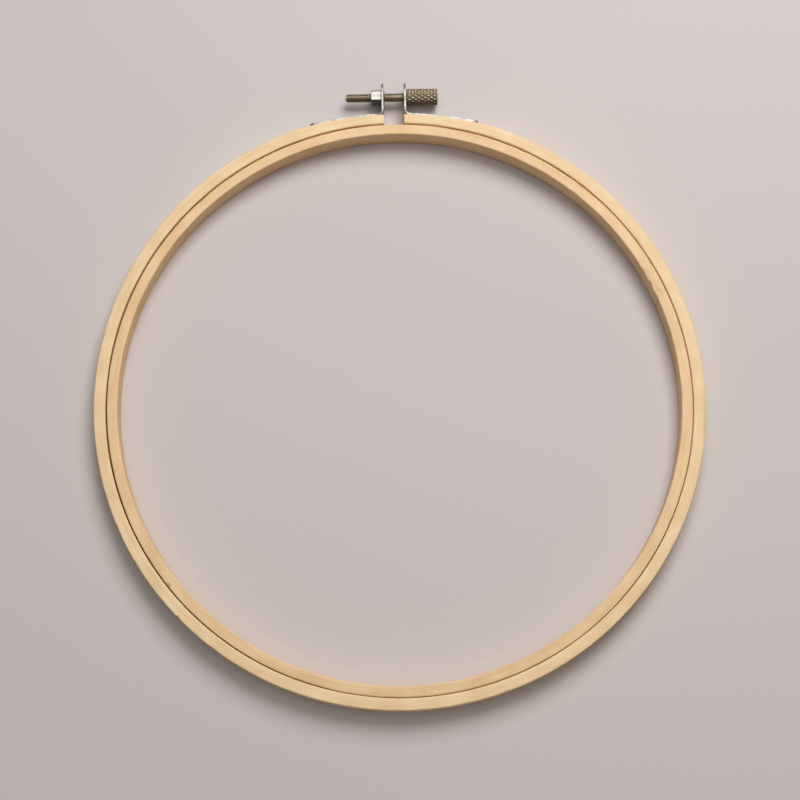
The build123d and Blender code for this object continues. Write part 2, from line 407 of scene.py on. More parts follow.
def antique_brass(name, worn, dark):
    """Dark antique plate, worn bright where the rise attribute says that the metal stands out."""
    shader = Shader(name)
    rise = shader.node("ShaderNodeAttribute", {"attribute_name": "rise"}, None, "Fac")
    x, y, z = shader.place()
    patches = shader.noise(x * 0.9, y * 0.9, z * 0.9, 3.0, 0.6, 5.0)
    grit = shader.noise(x * 7.0, y * 7.0, z * 7.0, 3.0, 0.6, 6.0)
    wear = rise.between(0.25, 1.0) * (0.55 + patches * 0.7) + grit * 0.25 - 0.12
    base = shader.mix(wear.between(0.0, 1.0), dark, worn)
    rough = 0.48 - wear.between(0.0, 1.0) * 0.14 + grit * 0.12
    return shader.finish(grit, 0.012 * MM, Base_Color=base, Roughness=rough, Metallic=1.0)


# Mesh code


def new_piece(name, vertices, faces, material=None):
    """A smooth mesh object from vertices and faces."""
    mesh = bpy.data.meshes.new(name)
    mesh.from_pydata([tuple(v) for v in vertices], [], faces)
    mesh.shade_smooth()
    piece = bpy.data.objects.new(name, mesh)
    bpy.context.scene.collection.objects.link(piece)
    if material:
        mesh.materials.append(material)
    return piece


def keep_modified(piece, sharp_angle):
    """Applies a piece's modifiers to its mesh, and marks the edges that stay sharp."""
    depsgraph = bpy.context.evaluated_depsgraph_get()
    made = bpy.data.meshes.new_from_object(piece.evaluated_get(depsgraph))
    made.name = piece.name
    piece.modifiers.clear()
    piece.data = made
    made.shade_smooth()
    made.set_sharp_from_angle(angle=math.radians(sharp_angle))
    return piece


def wander(turns, seed, size, waves):
    """A smooth wobble round a ring: one sine wave for each count of waves per turn."""
    draw = random.Random(seed)
    total = np.zeros_like(turns)
    for count in waves:
        total += draw.uniform(0.4, 1.0) * np.sin(count * turns + draw.uniform(0, TURN))
    return size * total / len(waves)


def knocks(turns, seed, size, count):
    """Small knocks of random depth round a ring, mostly slight, between this many points."""
    draw = random.Random(seed)
    levels = np.array([draw.random() ** 4 for _ in range(count)])
    at = (np.asarray(turns) / TURN * count) % count
    low = np.floor(at).astype(int)
    step = at - low
    step = step * step * (3 - 2 * step)
    return size * (levels[low % count] * (1 - step) + levels[(low + 1) % count] * step)


def bump_at(turns, centre, width):
    """A smooth hump of height 1 and this width round a ring, centred at an angle."""
    far = (turns - centre + math.pi) % TURN - math.pi
    return np.exp(-((far / width) ** 2))


class StripShape:
    """The section of a bent wooden strip at many stations, as rows of (radius, z) points."""

    CORNER_STEPS = 5
    FLAT_STEPS = 4
    WALL_STEPS = 6
    SLOW_WAVES = (2, 3, 5, 8, 13)
    TOP_WAVES = (3, 5, 9, 17, 29)
    EDGE_WAVES = (3, 7, 11, 19)
    INSIDE_WOBBLE = 0.09 * MM
    OUTSIDE_WOBBLE = 0.07 * MM
    EDGE_WOBBLE = 0.06 * MM
    EDGE_SHARE = 0.8
    KNOCK_DEPTH = 0.3 * MM
    KNOCKS = 230

    def __init__(self, turns, inside, outside, half_height, edge_round, seed):
        self.inside = inside + wander(turns, seed, self.INSIDE_WOBBLE, self.SLOW_WAVES)
        self.outside = outside + wander(turns, seed + 1, self.OUTSIDE_WOBBLE, self.SLOW_WAVES)
        self.low = np.full_like(turns, -half_height)
        self.high = half_height + wander(turns, seed + 2, self.EDGE_WOBBLE, self.TOP_WAVES)
        self.rounds = [
            edge_round * self.EDGE_SHARE
            + wander(turns, seed + 3 + i, self.EDGE_WOBBLE, self.EDGE_WAVES)
            + knocks(turns, seed + 7 + i, self.KNOCK_DEPTH, self.KNOCKS)
            for i in range(4)
        ]

    def inset(self, rows, distance):
        """Draws the section in by this distance at the given rows."""
        self.inside[rows] += distance
        self.outside[rows] -= distance
        self.low[rows] += distance
        self.high[rows] -= distance

    def points(self):
        """Arrays of radius and z, one row for each station and one column for each point."""
        corners = ((self.inside, self.low, 1, 1), (self.outside, self.low, -1, 1),
                   (self.outside, self.high, -1, -1), (self.inside, self.high, 1, -1))
        radii, heights = [], []
        for i, (side, level, inward, upward) in enumerate(corners):
            round_ = self.rounds[i]
            start = math.pi * (1 + i / 2)
            for step in range(self.CORNER_STEPS + 1):
                a = start + math.pi / 2 * step / self.CORNER_STEPS
                radii.append(side + inward * round_ + round_ * math.cos(a))
                heights.append(level + upward * round_ + round_ * math.sin(a))
            steps = self.WALL_STEPS if i % 2 else self.FLAT_STEPS
            next_side, next_level, next_in, next_up = corners[(i + 1) % 4]
            next_round = self.rounds[(i + 1) % 4]
            end_a = start + math.pi / 2
            end_r = next_side + next_in * next_round + next_round * math.cos(end_a)
            end_z = next_level + next_up * next_round + next_round * math.sin(end_a)
            last_r, last_z = radii[-1], heights[-1]
            for step in range(1, steps):
                part = step / steps
                radii.append(last_r * (1 - part) + end_r * part)
                heights.append(last_z * (1 - part) + end_z * part)
        return np.stack(radii, 1), np.stack(heights, 1)


def strip_mesh(name, turns, radii, heights, middle, closed, material, rows_of_map):
    """A strip from its sections. Turns are angles from -Y towards +X, one for each point.

    The strip attribute holds the place on the straight strip, and the map lays it out in rows.
    """
    stations, around = radii.shape
    vertices = np.stack([radii * np.sin(turns), -radii * np.cos(turns), heights], 2)
    flip = not closed and turns[-1, 0] < turns[0, 0]
    spans = stations if closed else stations - 1
    along = np.vstack([turns, turns[:1] + TURN]) if closed else turns
    radii_on = np.vstack([radii, radii[:1]])
    heights_on = np.vstack([heights, heights[:1]])
    widths = np.hypot(np.diff(radii[0], append=radii[0, 0]),
                      np.diff(heights[0], append=heights[0, 0]))
    girth = np.concatenate([[0], np.cumsum(widths)]) / widths.sum()
    per_row = math.ceil(spans / rows_of_map)

    faces, strip, chart = [], [], []
    for i in range(spans):
        row = i // per_row
        for k in range(around):
            corners = [(i, k), (i + 1, k), (i + 1, k + 1), (i, k + 1)]
            if flip:
                corners.reverse()
            faces.append([(a % stations) * around + b % around for a, b in corners])
            for a, b in corners:
                b_on = b % around
                strip.append((along[a, b_on] * middle / MM,
                              (radii_on[a, b_on] - middle) / MM, heights_on[a, b_on] / MM))
                share_along = (a - row * per_row) / per_row
                share_round = ROW_START_SHARE + girth[b] * ROW_HEIGHT_SHARE
                chart.append((share_along * ROW_LENGTH_SHARE + ROW_MARGIN_SHARE,
                              (row + share_round) / rows_of_map))
    if not closed:
        for i, reverse in ((0, False), (stations - 1, True)):
            order = list(range(around))
            if reverse != flip:
                order.reverse()
            faces.append([i * around + k for k in order])
            for k in order:
                strip.append((along[i, k] * middle / MM, (radii[i, k] - middle) / MM,
                              heights[i, k] / MM))
                a = TURN * k / around
                chart.append((END_PLACE_SHARES[0] + END_RADIUS_SHARE * math.cos(a),
                              END_PLACE_SHARES[1] + END_RADIUS_SHARE * math.sin(a)))
    piece = new_piece(name, vertices.reshape(-1, 3), faces, material)
    mesh = piece.data
    attribute = mesh.attributes.new("strip", "FLOAT_VECTOR", "CORNER")
    attribute.data.foreach_set("vector", np.array(strip, np.float32).ravel())
    uv = mesh.uv_layers.new(name="OFBake")
    uv.uv.foreach_set("vector", np.array(chart, np.float32).ravel())
    return piece


def lathe(profile, segments):
    """Vertices and faces of a profile of (radius, height) points turned about Z."""
    vertices, faces, rings = [], [], []
    for radius, height in profile:
        if radius < 1e-7:
            rings.append([len(vertices)])
            vertices.append((0, 0, height))
            continue
        rings.append(list(range(len(vertices), len(vertices) + segments)))
        for k in range(segments):
            a = TURN * k / segments
            vertices.append((radius * math.cos(a), radius * math.sin(a), height))
    for low, high in zip(rings, rings[1:]):
        for k in range(segments):
            n = (k + 1) % segments
            if len(low) == 1:
                faces.append([low[0], high[n], high[k]])
            elif len(high) == 1:
                faces.append([low[k], low[n], high[0]])
            else:
                faces.append([low[k], low[n], high[n], high[k]])
    return vertices, faces


def outward(angle_from_y, radius):
    """The matrix that turns +Z outwards, at an angle clockwise from +Y and this radius."""
    return (Matrix.Rotation(-angle_from_y, 4, "Z") @ Matrix.Translation((0, radius, 0))
            @ Matrix.Rotation(-math.pi / 2, 4, "X"))


def arc(x, y, radius, start, end, steps):
    """Points on an arc, with its angles in degrees."""
    found = []
    for step in range(steps + 1):
        a = math.radians(start + (end - start) * step / steps)
        found.append((x + radius * math.cos(a), y + radius * math.sin(a)))
    return found


def flat_plate(name, loops, thickness, edge):
    """A plate with rounded edges from its outline and holes, as a mesh in millimetres."""
    curve = bpy.data.curves.new(name, "CURVE")
    curve.dimensions = "2D"
    curve.fill_mode = "BOTH"
    for loop in loops:
        spline = curve.splines.new("POLY")
        spline.points.add(len(loop) - 1)
        for point, (x, y) in zip(spline.points, loop):
            point.co = (x / MM, y / MM, 0, 1)
        spline.use_cyclic_u = True
    curve.bevel_depth = edge / MM
    curve.bevel_resolution = 2
    curve.extrude = (thickness / 2 - edge) / MM
    curve.offset = -edge / MM
    holder = bpy.data.objects.new(name, curve)
    bpy.context.scene.collection.objects.link(holder)
    depsgraph = bpy.context.evaluated_depsgraph_get()
    mesh = bpy.data.meshes.new_from_object(holder.evaluated_get(depsgraph))
    bpy.data.objects.remove(holder)
    return mesh


def bent(mesh, path, cuts, mirrored):
    """Cuts a flat plate's mesh across at the given places and bends it along a path."""
    work = bmesh.new()
    work.from_mesh(mesh)
    bmesh.ops.remove_doubles(work, verts=work.verts, dist=0.002)
    for cut in cuts:
        everything = work.verts[:] + work.edges[:] + work.faces[:]
        bmesh.ops.bisect_plane(work, geom=everything, plane_co=(cut / MM, 0, 0),
                               plane_no=(1, 0, 0), dist=0.0005)
    side = -1 if mirrored else 1
    for vertex in work.verts:
        place, normal = path(vertex.co.x * MM)
        x, y = place + normal * (vertex.co.z * MM)
        vertex.co = (side * x, y, vertex.co.y * MM)
    bmesh.ops.recalc_face_normals(work, faces=work.faces)
    work.to_mesh(mesh)
    work.free()
    mesh.shade_smooth()
    mesh.set_sharp_from_angle(angle=math.radians(50))
    return mesh


# Operators


class HoopOperator:
    """What the operators share."""

    bl_options = {"REGISTER", "UNDO"}

    def settings(self, context):
        scene = context.scene
        return scene.hoop_sizes, scene.bracket_sizes, scene.screw_sizes, scene.hoop_colours


def leg_seat(hoop, bracket):
    """Depth below the hoop's centre and radius of the flatter arc that the legs lie on."""
    top = hoop.outer_radius - hoop.seat_depth
    side = math.sqrt(hoop.outer_radius**2 - bracket.toe_reach**2)
    radius = (bracket.toe_reach**2 + (top - side) ** 2) / (2 * (top - side))
    return radius - top, radius


def seat_at(turns, hoop, bracket):
    """The thinned strip's outside radius, at angles from -Y."""
    depth, radius = leg_seat(hoop, bracket)
    seat = depth * np.cos(turns) + np.sqrt(radius**2 - (depth * np.sin(turns)) ** 2)
    return np.where(np.cos(turns) < 0, np.minimum(seat, hoop.outer_radius), hoop.outer_radius)


def strip_turns(start, end, spacing, radius):
    """Evenly spaced angles from start to end, about this spacing apart along the strip."""
    count = max(2, round(abs(end - start) * radius / spacing))
    return np.linspace(start, end, count + 1)


class HOOP_OT_outer_ring(HoopOperator, bpy.types.Operator):
    """Makes the split outer ring as two halves that meet at the bottom"""

    bl_idname = "hoop.outer_ring"
    bl_label = "Outer Ring"
    SEED = 20
    # The chip and a dark streak, as angles from -Y towards +X.
    CHIP = math.radians(-46.3)
    CHIP_WIDTH = 0.0055
    CHIP_DEPTH = 0.28 * MM
    STREAK = math.radians(12.4)
    EASING_SHARES = (1, 0.3, 0)
    MAP_ROWS = 4
    TAIL_CLEARANCE = 0.12 * MM
    SHANK_CLEARANCE = 0.05 * MM
    SINK_CONE = 0.75 * MM
    OVERRUN = 1.0 * MM
    AROUND_HOLE = 40
    SHARP = 40

    def execute(self, context):
        hoop, bracket, _, colours = self.settings(context)
        bore = hoop.outer_radius - hoop.outer_thickness
        middle = (hoop.outer_radius + bore) / 2
        marks = (Mark(self.CHIP * middle / MM, 1.75, 4.3, 1.4, 1.0, 0.95),
                 Mark(self.STREAK * middle / MM, 0.4, 4.5, 3.0, 0.25, 0.35))
        material = wood("outer_bamboo", colours.outer_wood, colours.fibre, 3.0, None, marks)
        easing = hoop.end_round * np.array(self.EASING_SHARES)
        for name, side, jaw in (("outer_half_left", -1, "left_jaw"),
                                ("outer_half_right", 1, "right_jaw")):
            turns = strip_turns(0, math.pi, STATION_SPACING, middle)[:-1]
            rows = len(turns) + np.arange(len(easing))
            turns = np.concatenate([turns, [math.pi] * len(easing)]) * side
            shape = StripShape(turns, bore, hoop.outer_radius, hoop.half_height,
                               hoop.edge_round, self.SEED)
            shape.outside += seat_at(turns, hoop, bracket) - hoop.outer_radius
            shape.rounds[2] += bump_at(turns, self.CHIP, self.CHIP_WIDTH) * self.CHIP_DEPTH
            shape.inset(rows, hoop.end_round - easing)
            radii, heights = shape.points()
            widest = hoop.split / 2 + hoop.end_round
            full = math.pi - np.arcsin(widest / radii)
            spread = full * np.abs(turns[:, None]) / math.pi
            for row, ease in zip(rows, easing):
                spread[row] = math.pi - np.arcsin((hoop.split / 2 + ease) / radii[row])
            piece = strip_mesh(name, spread * side, radii, heights, middle, False, material,
                               self.MAP_ROWS)
            self.sink_rivet(piece, hoop, bracket, bore, side)
            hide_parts("outer_hoop")
            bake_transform(piece)
        return {"FINISHED"}

    def sink_rivet(self, piece, hoop, bracket, bore, side):
        """Cuts the hole that the rivet's shank and rolled tail need."""
        tail = bracket.rivet_tail + self.TAIL_CLEARANCE
        shank = bracket.rivet_shank + self.SHANK_CLEARANCE
        recess = bracket.rivet_recess
        far_side = hoop.outer_thickness + self.OVERRUN
        profile = [(0, -self.OVERRUN), (tail, -self.OVERRUN), (tail, recess),
                   (shank, recess + self.SINK_CONE), (shank, far_side), (0, far_side)]
        vertices, faces = lathe(profile, self.AROUND_HOLE)
        cutter = new_piece("rivet_cutter", vertices, faces)
        at = math.asin(bracket.rivet_reach / hoop.outer_radius) * side
        cutter.data.transform(outward(at, bore))
        cut = piece.modifiers.new("rivet_hole", "BOOLEAN")
        cut.operation = "DIFFERENCE"
        cut.solver = "EXACT"
        cut.object = cutter
        keep_modified(piece, self.SHARP)
        bpy.data.objects.remove(cutter)


class HOOP_OT_inner_ring(HoopOperator, bpy.types.Operator):
    """Makes the closed inner ring, with the glued scarf that joins its ends"""

    bl_idname = "hoop.inner_ring"
    bl_label = "Inner Ring"
    SEED = 50
    OUTSIDE_SEED = 61
    OUTSIDE_WOBBLE = 0.05 * MM
    OUTSIDE_WAVES = (2, 3, 5, 8)
    OFF_CENTRE = 0.17 * MM
    OFF_CENTRE_TURN = math.radians(40)
    FULLER = 0.04 * MM
    MAP_ROWS = 6
    SHARP = 60
    # Where the dark speck is, from +X.
    SPECK = math.radians(218 - 360)
    # Degrees past the scarf, width in radians, and how proud of the wall in millimetres.
    LIPS = ((1.3, 0.013, 0.24), (-1.8, 0.010, 0.16), (-0.3, 0.006, -0.14),
            (-3.4, 0.008, -0.1), (4.2, 0.012, 0.1))
    # Radians past the scarf, width and depth.
    NICK = (-0.008, 0.006, 0.3 * MM)

    def execute(self, context):
        hoop, _, _, colours = self.settings(context)
        middle = (hoop.inner_radius + hoop.window_radius) / 2
        half = (hoop.inner_radius - hoop.window_radius) / 2
        scarf_turn = hoop.scarf_angle + math.pi / 2
        turns = strip_turns(scarf_turn - math.pi, scarf_turn + math.pi, STATION_SPACING,
                            middle)[:-1]
        shape = StripShape(turns, hoop.window_radius, hoop.inner_radius, hoop.half_height,
                           hoop.edge_round, self.SEED)
        # The ring is a little fuller than its solid, and off centre in its play, low and right.
        off_centre = self.OFF_CENTRE * np.cos(turns - self.OFF_CENTRE_TURN) + self.FULLER
        shape.outside = hoop.inner_radius + off_centre + wander(
            turns, self.OUTSIDE_SEED, self.OUTSIDE_WOBBLE, self.OUTSIDE_WAVES)
        # The glue line's ends stand proud of the window's wall in two lips, with nicks beside them.
        for degrees, width, proud in self.LIPS:
            lip = bump_at(turns, scarf_turn + math.radians(degrees), width)
            shape.inside -= lip * proud * MM
        past_scarf, width, depth = self.NICK
        shape.rounds[3] += bump_at(turns, scarf_turn + past_scarf, width) * depth
        radii, heights = shape.points()
        ring = TURN * middle / MM
        speck = ring + (self.SPECK - hoop.scarf_angle) * middle / MM
        marks = (Mark(speck, 1.4, 4.5, 1.8, 0.9, 0.9), Mark(speck + 25, -1.2, 4.5, 0.9, 0.4, 0.5),
                 Mark(ring - 3.4, -0.2, 4.5, 2.2, 0.4, 0.6),
                 Mark(ring - 5.0, 0.4, 4.5, 1.8, 0.35, 0.5),
                 Mark(ring - 1.8, -0.9, 4.5, 1.6, 0.35, 0.5),
                 Mark(3.2, -1.1, 4.5, 4.5, 1.1, 0.35))
        material = wood("inner_bamboo", colours.inner_wood, colours.fibre, 11.0,
                        (hoop.scarf_length / MM, half / MM, ring), marks)
        grid = np.repeat(turns[:, None], radii.shape[1], 1)
        piece = strip_mesh("inner_ring_strip", grid, radii, heights, middle, True, material,
                           self.MAP_ROWS)
        # Along the strip, the attribute counts from the scarf.
        attribute = piece.data.attributes["strip"]
        values = np.zeros(len(attribute.data) * 3, np.float32)
        attribute.data.foreach_get("vector", values)
        values[0::3] -= scarf_turn * middle / MM
        attribute.data.foreach_set("vector", values)
        piece.data.set_sharp_from_angle(angle=math.radians(self.SHARP))
        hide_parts("inner_hoop")
        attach(piece, "inner_ring")
        return {"FINISHED"}


class HOOP_OT_brackets(HoopOperator, bpy.types.Operator):
    """Makes the two bent brackets from flat blanks with their holes punched"""

    bl_idname = "hoop.brackets"
    bl_label = "Brackets"
    # How far down the bend the strip has narrowed to the leg's width.
    NARROW_SHARE = 1.4
    BEND_CUTS = 8
    LEG_CUTS = 14

    def execute(self, context):
        hoop, bracket, _, colours = self.settings(context)
        material = nickel("bracket_nickel", colours.stamped_nickel, colours.nickel_dull, 0.27)
        half = bracket.thickness / 2
        seat_depth, seat_radius = leg_seat(hoop, bracket)
        seat = Vector((0, -seat_depth))
        leg_radius = seat_radius + bracket.leg_clearance
        bend_outside = bracket.bend_inside + bracket.thickness
        bend_middle = bracket.bend_inside + half
        bend_x = bracket.ear_face + bend_outside
        bend_y = math.sqrt((leg_radius + bend_outside) ** 2 - bend_x**2) - seat_depth
        leg_start = math.atan2(bend_x, bend_y + seat_depth)
        toe_start = math.asin((bracket.rivet_reach + bracket.rivet_head) / leg_radius)
        toe_end = math.asin(bracket.toe_reach / leg_radius)
        rivet = math.asin(bracket.rivet_reach / leg_radius)

        ear = bracket.ear_tip - bend_y
        bend = bend_middle * (math.pi / 2 - leg_start)
        leg = (leg_radius + half) * (toe_start - leg_start)
        toe_from = seat + leg_radius * Vector((math.sin(toe_start), math.cos(toe_start)))
        toe_to = seat + (leg_radius + bracket.toe_lift) * Vector((math.sin(toe_end),
                                                                  math.cos(toe_end)))
        toe_way = (toe_to - toe_from).normalized()
        toe_normal = Vector((-toe_way.y, toe_way.x))
        total = ear + bend + leg + (toe_to - toe_from).length

        def path(s):
            """The middle of the strip at this length from the ear's tip, and its outward side."""
            if s <= ear:
                return Vector((bracket.ear_face + half, bracket.ear_tip - s)), Vector((1, 0))
            if s <= ear + bend:
                a = math.pi + (s - ear) / bend_middle
                way = Vector((math.cos(a), math.sin(a)))
                return Vector((bend_x, bend_y)) + way * bend_middle, -way
            if s <= ear + bend + leg:
                a = leg_start + (s - ear - bend) / (leg_radius + half)
                way = Vector((math.sin(a), math.cos(a)))
                return seat + way * (leg_radius + half), way
            past = s - ear - bend - leg
            return toe_from + toe_normal * half + toe_way * past, toe_normal

        wide = bracket.half_width
        slim = bracket.leg_half_width
        corner = bracket.toe_corner
        outline = (arc(wide, 0, wide, 90, 270, 28)
                   + [(ear, -wide), (ear + bend * self.NARROW_SHARE, -slim)]
                   + arc(total - corner, corner - slim, corner, 270, 360, 8)
                   + arc(total - corner, slim - corner, corner, 0, 90, 8)
                   + [(ear + bend * self.NARROW_SHARE, slim), (ear, wide)])
        outline.reverse()
        screw = bracket.ear_tip - SCREW_Y
        rivet_at = ear + bend + (leg_radius + half) * (rivet - leg_start)
        cuts = [ear + bend * i / self.BEND_CUTS for i in range(self.BEND_CUTS + 1)]
        cuts += [ear + bend + leg * (i + 1) / self.LEG_CUTS for i in range(self.LEG_CUTS)]
        for name, node, jaw, hole, mirrored in (
                ("bracket_left", "left_bracket", "left_jaw", bracket.nut_hole, True),
                ("bracket_right", "right_bracket", "right_jaw", bracket.screw_hole, False)):
            loops = [outline, arc(screw, 0, hole, 0, 350, 35),
                     arc(rivet_at, 0, bracket.rivet_hole, 0, 345, 23)]
            mesh = flat_plate(name, loops, bracket.thickness, bracket.edge)
            bent(mesh, path, cuts, mirrored)
            mesh.materials.clear()
            mesh.materials.append(material)
            piece = bpy.data.objects.new(name, mesh)
            context.scene.collection.objects.link(piece)
            piece.modifiers.new("even_normals", "WEIGHTED_NORMAL").keep_sharp = True
            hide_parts(node)
            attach(piece, jaw)
        return {"FINISHED"}


class HOOP_OT_rivets(HoopOperator, bpy.types.Operator):
    """Makes the two semi-tubular rivets with their domed heads and rolled tails"""

    bl_idname = "hoop.rivets"
    bl_label = "Rivets"
    AROUND = 56
    SHARP = 50
    SEAT_GAP = 0.03 * MM
    TUBE_DEPTH = 1.6 * MM
    TUBE_RADIUS = 0.56 * MM
    TUBE_TAPER = 0.04 * MM
    FLOOR_RADIUS = 0.42 * MM
    FLOOR_EASE = 0.15 * MM
    CURL = 0.36 * MM
    CURL_INSET = 0.45 * MM
    SHANK_START = 0.85 * MM
    SHANK_EASE = 0.15 * MM
    SHANK_FLARE = 0.1 * MM
    RIM_EASE = 0.1 * MM
    RIM_HEIGHT = 0.05 * MM
    DOME_SHARE = 0.96

    def execute(self, context):
        hoop, bracket, _, colours = self.settings(context)
        material = nickel("rivet_nickel", colours.nickel, colours.nickel_dull, 0.06)
        bore = hoop.outer_radius - hoop.outer_thickness
        turn = math.asin(bracket.rivet_reach / hoop.outer_radius)
        outside = float(seat_at(np.array(math.pi - turn), hoop, bracket))
        seat = outside - bore + bracket.leg_clearance + bracket.thickness + self.SEAT_GAP
        head, dome, shank = bracket.rivet_head, bracket.rivet_dome, bracket.rivet_shank
        curve = (head**2 + dome**2) / (2 * dome)
        lean = math.degrees(math.asin(head / curve))
        profile = [(0, self.TUBE_DEPTH), (self.FLOOR_RADIUS, self.TUBE_DEPTH),
                   (self.TUBE_RADIUS - self.TUBE_TAPER, self.TUBE_DEPTH - self.FLOOR_EASE),
                   (self.TUBE_RADIUS, self.TUBE_DEPTH / 2)]
        profile += arc(bracket.rivet_tail - self.CURL_INSET, bracket.rivet_recess + self.CURL,
                       self.CURL, 195, 400, 12)
        profile += [(shank + self.SHANK_FLARE, self.SHANK_START),
                    (shank, self.SHANK_START + self.SHANK_EASE), (shank, seat),
                    (head - self.RIM_EASE, seat), (head, seat + self.RIM_HEIGHT)]
        domed = arc(0, seat + dome - curve, curve, 90 - lean * self.DOME_SHARE, 90, 10)
        profile += domed[:-1] + [(0, seat + dome)]
        vertices, faces = lathe(profile, self.AROUND)
        for name, node, jaw, side in (("rivet_left", "left_rivet", "left_jaw", -1),
                                      ("rivet_right", "right_rivet", "right_jaw", 1)):
            piece = new_piece(name, vertices, faces, material)
            piece.data.transform(outward(side * turn, bore))
            piece.data.set_sharp_from_angle(angle=math.radians(self.SHARP))
            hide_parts(node)
            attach(piece, jaw)
        return {"FINISHED"}


class HOOP_OT_nut(HoopOperator, bpy.types.Operator):
    """Gives the staked nut its nickel finish"""

    bl_idname = "hoop.nut"
    bl_label = "Nut"

    def execute(self, context):
        colours = self.settings(context)[3]
        material = nickel("nut_nickel", colours.nickel, colours.nickel_dull, 0.2)
        node = frame["nodes"]["clamp_nut"]
        for slot in node.material_slots:
            slot.material = material
        return {"FINISHED"}


class HOOP_OT_thumb_screw(HoopOperator, bpy.types.Operator):
    """Makes the thumb screw: threaded end, plain shank and diamond-knurled knob"""

    bl_idname = "hoop.thumb_screw"
    bl_label = "Thumb Screw"
    GROOVES = 14
    AROUND = 168
    SHAFT_AROUND = 42
    ROWS_PER_TURN = 12
    THREAD_FLANK = math.radians(30)
    CHAMFER_STEPS = 4
    SHARP = 42
    # How worn the plating is, from 0 in a groove to 1 on a ridge.
    TIP_WEAR = 0.5
    CHAMFER_WEAR = 0.8
    THREAD_WEAR = 0.8
    SHANK_WEAR = 0.45
    SHOULDER_WEAR = 0.4

    def execute(self, context):
        _, _, screw, colours = self.settings(context)
        rows = self.shaft_rows(screw) + self.knob_rows(screw)
        vertices, rises, starts = [], [], []
        for x, radii, rise in rows:
            starts.append(len(vertices))
            count = len(radii)
            for k in range(count):
                a = TURN * k / count
                vertices.append((x, SCREW_Y + radii[k] * math.sin(a), -radii[k] * math.cos(a)))
                rises.append(rise[k])
        faces = []
        for (_, low, _), (_, high, _), a, b in zip(rows, rows[1:], starts, starts[1:]):
            n, m = len(low), len(high)
            if n == m:
                for k in range(n):
                    k2 = (k + 1) % n
                    faces.append([a + k2, a + k, b + k, b + k2])
            else:
                ratio = m // n
                for k in range(n):
                    wide = [b + (k * ratio + j) % m for j in range(ratio + 1)]
                    faces.append([a + (k + 1) % n, a + k] + wide)
        faces.append(list(range(self.SHAFT_AROUND)))
        last = starts[-1]
        faces.append([last + k for k in reversed(range(self.AROUND))])
        material = antique_brass("screw_brass", colours.brass, colours.brass_dark)
        piece = new_piece("thumb_screw_turned", vertices, faces, material)
        attribute = piece.data.attributes.new("rise", "FLOAT", "POINT")
        attribute.data.foreach_set("value", np.array(rises, np.float32))
        piece.data.set_sharp_from_angle(angle=math.radians(self.SHARP))
        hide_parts("thumb_screw")
        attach(piece, "screw")
        return {"FINISHED"}

    def shaft_rows(self, screw):
        """Rows of (x, radii, rise) for the tip, the thread and the shank."""
        count = self.SHAFT_AROUND
        turned = np.arange(count) / count
        start = screw.tip_length - screw.tip
        end = -screw.thread_end

        def plain(x, radius, rise):
            return x, np.full(count, radius), np.full(count, rise)

        rows = [plain(-screw.tip, screw.tip_radius - screw.tip_chamfer, self.TIP_WEAR),
                plain(screw.tip_chamfer - screw.tip, screw.tip_radius, self.CHAMFER_WEAR)]
        depth = screw.crest - screw.root
        flank = depth * math.tan(self.THREAD_FLANK) / screw.pitch
        # Two thirds of what the flanks leave of a pitch is the groove's floor.
        bottom = 2 * (1 - 2 * flank) / 3
        steps = round((end - start) / screw.pitch * self.ROWS_PER_TURN)
        for i in range(steps + 1):
            x = start + (end - start) * i / steps
            phase = (turned - (x - start) / screw.pitch) % 1
            far = np.abs((phase + 0.5) % 1 - 0.5)
            rise = np.clip((far - bottom / 2) / flank, 0, 1)
            radii = screw.root + depth * rise
            radii = np.minimum(radii, screw.tip_radius + (x - start))
            run_out = min(1, (end - x) / screw.pitch)
            radii = screw.shank + (radii - screw.shank) * run_out
            rows.append((x, radii, rise * self.THREAD_WEAR))
        rows.append(plain(0, screw.shank, self.SHANK_WEAR))
        rows.append(plain(screw.knob_start, screw.shank, self.SHOULDER_WEAR))
        return rows

    def knob_rows(self, screw):
        """Rows of (x, radii, rise) for the knob, with its two sets of crossed grooves."""
        turned = np.arange(self.AROUND) / self.AROUND
        long = screw.end - screw.knob_start
        chamfer = screw.knob_chamfer
        end_radius = screw.knob_radius - chamfer
        valley = screw.knob_radius - screw.knurl_depth
        step = screw.knurl_lead / self.AROUND
        steps = self.CHAMFER_STEPS
        places = [chamfer * i / steps for i in range(steps)]
        places += list(np.arange(round(chamfer / step) * step, long - chamfer, step))
        places += [long - chamfer * (1 - i / steps) for i in range(steps + 1)]
        rows = []
        for place in places:
            shift = place / screw.knurl_lead
            rise = np.full(self.AROUND, 1.0)
            for way in (-1, 1):
                at = (turned + way * shift) * self.GROOVES
                off = np.abs(at - np.round(at))
                rise = np.minimum(rise, 1 - 2 * off)
            radii = valley + screw.knurl_depth * rise
            radii = np.minimum(radii, screw.knob_radius - screw.knurl_flat)
            radii = np.minimum(radii, end_radius + min(place, long - place))
            rows.append((screw.knob_start + place, radii, rise))
        return rows


